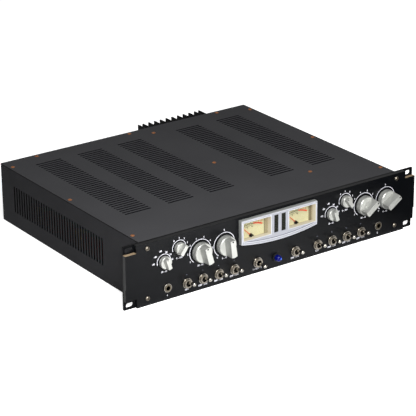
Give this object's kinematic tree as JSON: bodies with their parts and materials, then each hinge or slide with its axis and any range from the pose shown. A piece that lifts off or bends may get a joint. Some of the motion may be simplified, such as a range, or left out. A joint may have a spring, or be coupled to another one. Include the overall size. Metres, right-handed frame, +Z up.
{
  "type": "microphone preamplifier",
  "caption": "Rack microphone preamplifier with pointer knobs, toggle switches, twin needle meters in a curved bezel, a vented chassis and a finned rear heat sink.",
  "frame": {"origin": "middle of the footprint, at the lower edge of the front panel", "axes": "+X to the right facing the front, +Y from the front to the back, +Z up"},
  "size_m": [0.4826, 0.4156, 0.0881],
  "materials": {
    "panel_black": "satin",
    "cover_grey": "matte",
    "chassis_black": "matte",
    "sink_black": "matte",
    "screw_bright": "polished",
    "screw_copper": "satin",
    "bezel_silver": "satin",
    "case_cream": "matte",
    "dial_cream": "matte",
    "window_clear": "gloss",
    "needle_red": "satin",
    "column_dark": "gloss",
    "light_lens": "gloss",
    "jewel_blue": "gloss",
    "ring_black": "satin",
    "jack_dark": "satin",
    "nut_chrome": "polished",
    "knob_satin": "satin",
    "shaft_steel": "satin",
    "switch_dark": "satin",
    "trim_blue": "satin",
    "toggle_red": "gloss",
    "lever_chrome": "polished",
    "transistor_dark": "matte",
    "inlet_black": "satin",
    "connector_dark": "satin",
    "board_green": "satin",
    "fastener_steel": "satin",
    "divider_steel": "satin",
    "winding_yellow": "satin",
    "can_grey": "satin",
    "capacitor_blue": "satin",
    "film_red": "satin"
  },
  "bodies": {
    "chassis": {"rack_plate": "panel_black", "front_panel": "panel_black", "panel_screws": "screw_bright", "chassis_tray": "chassis_black", "rear_panel": "chassis_black", "top_cover": "cover_grey", "cover_screws": "screw_copper", "meter_bezel": "bezel_silver", "meter_cases": "case_cream", "meter_dials": "dial_cream", "meter_windows": "window_clear", "light_columns": "column_dark", "status_lights": "light_lens", "pilot_lamp": "jewel_blue", "pilot_ring": "ring_black", "instrument_jacks": "jack_dark", "panel_nuts": "nut_chrome", "selector_switches": "switch_dark", "trim_controls": "trim_blue", "toggle_bodies": "toggle_red", "heat_sink": "sink_black", "power_transistors": "transistor_dark", "mains_inlet": "inlet_black", "mic_inputs": "connector_dark", "line_outputs": "connector_dark", "circuit_boards": "board_green", "inner_fasteners": "fastener_steel", "inner_divider": "divider_steel", "mains_transformer": "winding_yellow", "audio_transformers": "can_grey", "smoothing_capacitors": "capacitor_blue", "film_capacitors": "film_red"},
    "ch1_input": {"ch1_input_knob": "knob_satin", "ch1_input_shaft": "shaft_steel"},
    "ch1_filter": {"ch1_filter_knob": "knob_satin", "ch1_filter_shaft": "shaft_steel"},
    "ch1_gain": {"ch1_gain_knob": "knob_satin", "ch1_gain_shaft": "shaft_steel"},
    "ch1_trim": {"ch1_trim_knob": "knob_satin", "ch1_trim_shaft": "shaft_steel"},
    "ch2_input": {"ch2_input_knob": "knob_satin", "ch2_input_shaft": "shaft_steel"},
    "ch2_filter": {"ch2_filter_knob": "knob_satin", "ch2_filter_shaft": "shaft_steel"},
    "ch2_gain": {"ch2_gain_knob": "knob_satin", "ch2_gain_shaft": "shaft_steel"},
    "ch2_trim": {"ch2_trim_knob": "knob_satin", "ch2_trim_shaft": "shaft_steel"},
    "ch1_toggle_1": {"ch1_toggle_1": "lever_chrome"},
    "ch1_toggle_2": {"ch1_toggle_2": "lever_chrome"},
    "ch1_toggle_3": {"ch1_toggle_3": "lever_chrome"},
    "ch1_toggle_4": {"ch1_toggle_4": "lever_chrome"},
    "meter_toggle": {"meter_toggle": "lever_chrome"},
    "power_toggle": {"power_toggle": "lever_chrome"},
    "ch2_toggle_1": {"ch2_toggle_1": "lever_chrome"},
    "ch2_toggle_2": {"ch2_toggle_2": "lever_chrome"},
    "ch2_toggle_3": {"ch2_toggle_3": "lever_chrome"},
    "ch2_toggle_4": {"ch2_toggle_4": "lever_chrome"},
    "left_needle": {"left_needle": "needle_red"},
    "right_needle": {"right_needle": "needle_red"}
  },
  "joints": [
    {"name": "ch1_input_turn", "type": "hinge", "parent": "chassis", "child": "ch1_input", "pos_m": [-0.1825, -0.1868, 0.056], "axis": [0, 1, 0], "range_deg": [-72, 108]},
    {"name": "ch1_filter_turn", "type": "hinge", "parent": "chassis", "child": "ch1_filter", "pos_m": [-0.15843, -0.1868, 0.0695], "axis": [0, 1, 0], "range_deg": [-72, 36]},
    {"name": "ch1_gain_turn", "type": "hinge", "parent": "chassis", "child": "ch1_gain", "pos_m": [-0.12532, -0.1868, 0.056], "axis": [0, 1, 0], "range_deg": [-111, 141]},
    {"name": "ch1_trim_turn", "type": "hinge", "parent": "chassis", "child": "ch1_trim", "pos_m": [-0.0867, -0.1868, 0.056], "axis": [0, 1, 0], "range_deg": [-143, 157]},
    {"name": "ch2_input_turn", "type": "hinge", "parent": "chassis", "child": "ch2_input", "pos_m": [0.0923, -0.1868, 0.056], "axis": [0, 1, 0], "range_deg": [-72, 108]},
    {"name": "ch2_filter_turn", "type": "hinge", "parent": "chassis", "child": "ch2_filter", "pos_m": [0.11638, -0.1868, 0.0695], "axis": [0, 1, 0], "range_deg": [0, 108]},
    {"name": "ch2_gain_turn", "type": "hinge", "parent": "chassis", "child": "ch2_gain", "pos_m": [0.14948, -0.1868, 0.056], "axis": [0, 1, 0], "range_deg": [-180, 72]},
    {"name": "ch2_trim_turn", "type": "hinge", "parent": "chassis", "child": "ch2_trim", "pos_m": [0.1881, -0.1868, 0.056], "axis": [0, 1, 0], "range_deg": [-207, 93]},
    {"name": "ch1_toggle_1_throw", "type": "hinge", "parent": "chassis", "child": "ch1_toggle_1", "pos_m": [-0.1462, -0.1822, 0.0157], "axis": [1, 0, 0], "range_deg": [0, 23]},
    {"name": "ch1_toggle_2_throw", "type": "hinge", "parent": "chassis", "child": "ch1_toggle_2", "pos_m": [-0.1208, -0.1822, 0.0157], "axis": [1, 0, 0], "range_deg": [0, 23]},
    {"name": "ch1_toggle_3_throw", "type": "hinge", "parent": "chassis", "child": "ch1_toggle_3", "pos_m": [-0.0954, -0.1822, 0.0157], "axis": [1, 0, 0], "range_deg": [0, 23]},
    {"name": "ch1_toggle_4_throw", "type": "hinge", "parent": "chassis", "child": "ch1_toggle_4", "pos_m": [-0.07, -0.1822, 0.0157], "axis": [1, 0, 0], "range_deg": [0, 23]},
    {"name": "meter_toggle_throw", "type": "hinge", "parent": "chassis", "child": "meter_toggle", "pos_m": [-0.03175, -0.1822, 0.0157], "axis": [1, 0, 0], "range_deg": [-11.5, 11.5]},
    {"name": "power_toggle_throw", "type": "hinge", "parent": "chassis", "child": "power_toggle", "pos_m": [0.03175, -0.1822, 0.0157], "axis": [1, 0, 0], "range_deg": [0, 23]},
    {"name": "ch2_toggle_1_throw", "type": "hinge", "parent": "chassis", "child": "ch2_toggle_1", "pos_m": [0.07, -0.1822, 0.0157], "axis": [1, 0, 0], "range_deg": [0, 23]},
    {"name": "ch2_toggle_2_throw", "type": "hinge", "parent": "chassis", "child": "ch2_toggle_2", "pos_m": [0.0954, -0.1822, 0.0157], "axis": [1, 0, 0], "range_deg": [0, 23]},
    {"name": "ch2_toggle_3_throw", "type": "hinge", "parent": "chassis", "child": "ch2_toggle_3", "pos_m": [0.1208, -0.1822, 0.0157], "axis": [1, 0, 0], "range_deg": [0, 23]},
    {"name": "ch2_toggle_4_throw", "type": "hinge", "parent": "chassis", "child": "ch2_toggle_4", "pos_m": [0.1462, -0.1822, 0.0157], "axis": [1, 0, 0], "range_deg": [0, 23]},
    {"name": "left_needle_swing", "type": "hinge", "parent": "chassis", "child": "left_needle", "pos_m": [-0.0377, -0.1767, 0.0542], "axis": [0, 1, 0], "range_deg": [0, 92], "stiffness_Nm_per_rad": 0.00002},
    {"name": "right_needle_swing", "type": "hinge", "parent": "chassis", "child": "right_needle", "pos_m": [0.0377, -0.1767, 0.0542], "axis": [0, 1, 0], "range_deg": [0, 92], "stiffness_Nm_per_rad": 0.00002}
  ]
}
